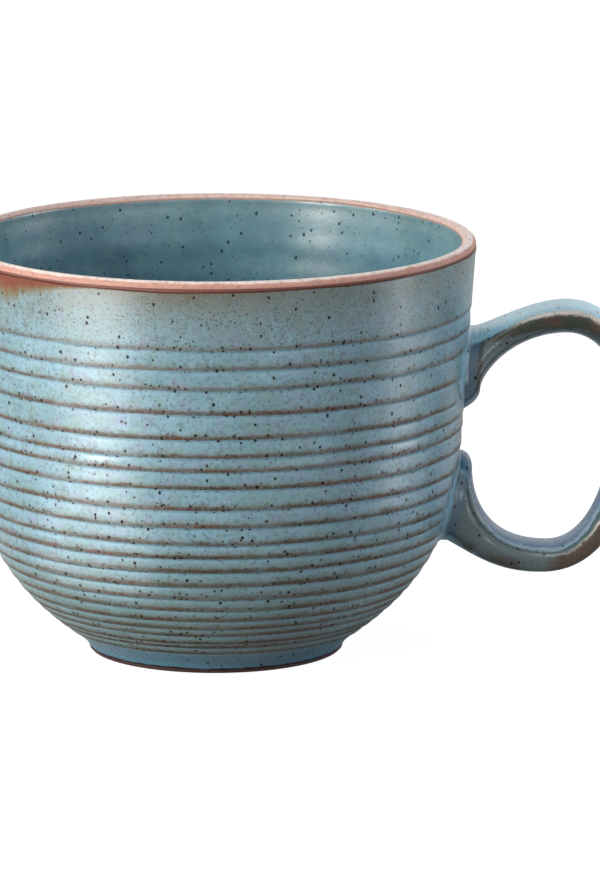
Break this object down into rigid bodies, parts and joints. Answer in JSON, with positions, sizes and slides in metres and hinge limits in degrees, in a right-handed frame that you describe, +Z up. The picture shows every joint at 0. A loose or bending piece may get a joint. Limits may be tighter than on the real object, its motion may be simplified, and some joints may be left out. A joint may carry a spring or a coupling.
{
  "type": "cappuccino cup",
  "caption": "Round-bellied stoneware coffee cup with turned ribs, speckled pale blue glaze, a bare clay lip and an ear-shaped strap handle.",
  "frame": {"origin": "on the table under the foot, at the middle of the cup's bounding box; the bowl's axis stands at x = -14.9 mm", "axes": "+Z up out of the mouth, +X towards the handle, +Y to the left of someone who looks along +X"},
  "size_m": [0.1218, 0.092, 0.0741],
  "materials": {
    "bare_stoneware": "matt, bare fired clay, pinkish brown",
    "pale_blue_glaze": "satin, mottled, with dark iron specks",
    "liner_glaze": "satin, teal, with dark iron specks",
    "luting_slip": "slip bead under pooled glaze"
  },
  "bodies": {
    "root": {"cup_body": "bare_stoneware", "outer_glaze": "pale_blue_glaze", "inner_glaze": "liner_glaze", "foot_glaze": "liner_glaze", "handle": "bare_stoneware", "handle_glaze": "pale_blue_glaze", "upper_slip_joint": "luting_slip", "lower_slip_joint": "luting_slip"}
  },
  "joints": []
}
